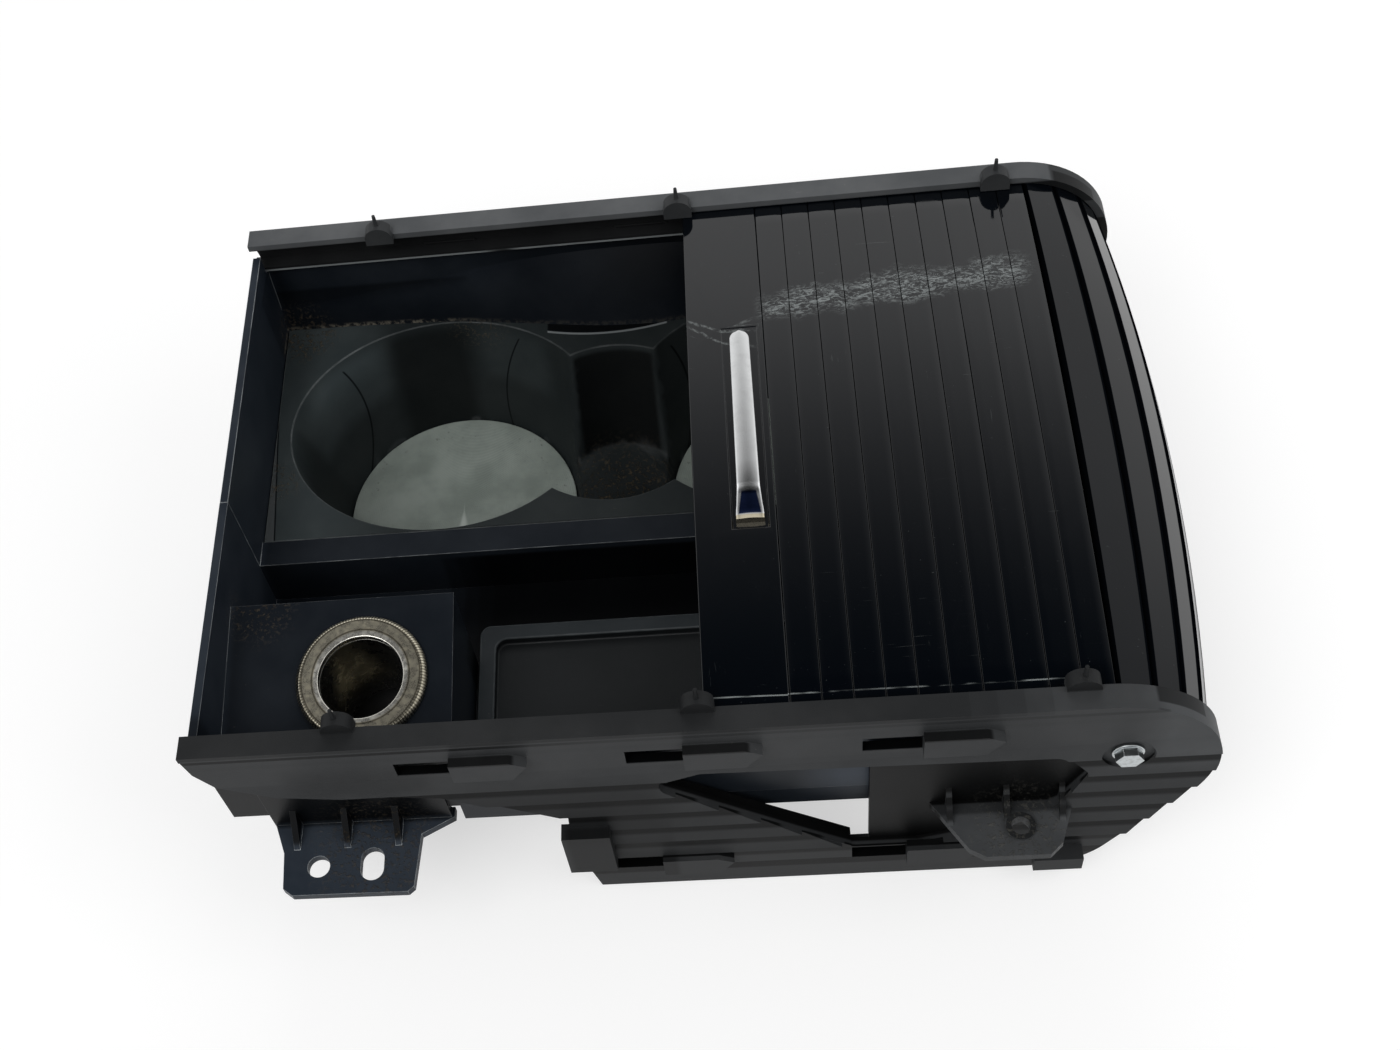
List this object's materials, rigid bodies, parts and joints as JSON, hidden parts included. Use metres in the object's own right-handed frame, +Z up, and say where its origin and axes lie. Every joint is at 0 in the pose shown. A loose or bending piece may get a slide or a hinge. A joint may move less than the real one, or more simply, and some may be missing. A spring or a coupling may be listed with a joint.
{
  "type": "car cup holder",
  "caption": "Centre-console cup holder with a slatted sliding cover, chrome pull, cup wells, side storage tray and a power socket, in a frame with screw feet.",
  "frame": {"origin": "under the middle of the object's box, at the base", "axes": "+X along the rails towards the bend of the cover, +Y away from the socket side, +Z up"},
  "size_m": [0.2384, 0.1952, 0.092],
  "materials": {
    "frame_plastic": "fine grain, satin",
    "tub_plastic": "satin",
    "insert_plastic": "matt, slightly green-grey",
    "mat_grey": "brushed look",
    "storage_panel": "matt",
    "slat_gloss": "piano black with scuffs",
    "handle_chrome": "satin chrome",
    "film": "woven backing",
    "nickel": "aged nickel",
    "socket_metal": "tarnished",
    "socket_plastic": "matt",
    "contact_brass": "worn",
    "tube_steel": "drawn tube",
    "zinc": "zinc plated"
  },
  "bodies": {
    "housing": {"near_side_frame": "frame_plastic", "far_side_frame": "frame_plastic", "tray_tub": "tub_plastic", "storage_tub": "tub_plastic", "cup_insert": "insert_plastic", "cup_mat_left": "mat_grey", "cup_mat_right": "mat_grey", "storage_mat": "storage_panel", "curtain_tail": "slat_gloss", "socket_ring": "nickel", "socket_shell": "socket_metal", "socket_body": "socket_plastic", "socket_contact": "contact_brass", "cross_tube": "tube_steel", "side_bolt_near": "zinc", "side_bolt_far": "zinc"},
    "cover": {"handle_slat": "slat_gloss", "handle_trim": "handle_chrome", "curtain_film": "film", "slat_01": "slat_gloss", "slat_02": "slat_gloss", "slat_03": "slat_gloss", "slat_04": "slat_gloss", "slat_05": "slat_gloss", "slat_06": "slat_gloss", "slat_07": "slat_gloss", "slat_08": "slat_gloss", "slat_09": "slat_gloss", "slat_10": "slat_gloss"}
  },
  "joints": [
    {"name": "cover_slide", "type": "slide", "parent": "housing", "child": "cover", "axis": [1, 0, 0], "range_m": [-0.118, 0.069], "deforming": ["slat_01", "slat_02", "slat_03", "slat_04", "slat_05", "slat_06", "slat_07", "slat_08", "slat_09", "slat_10", "curtain_film"]}
  ]
}
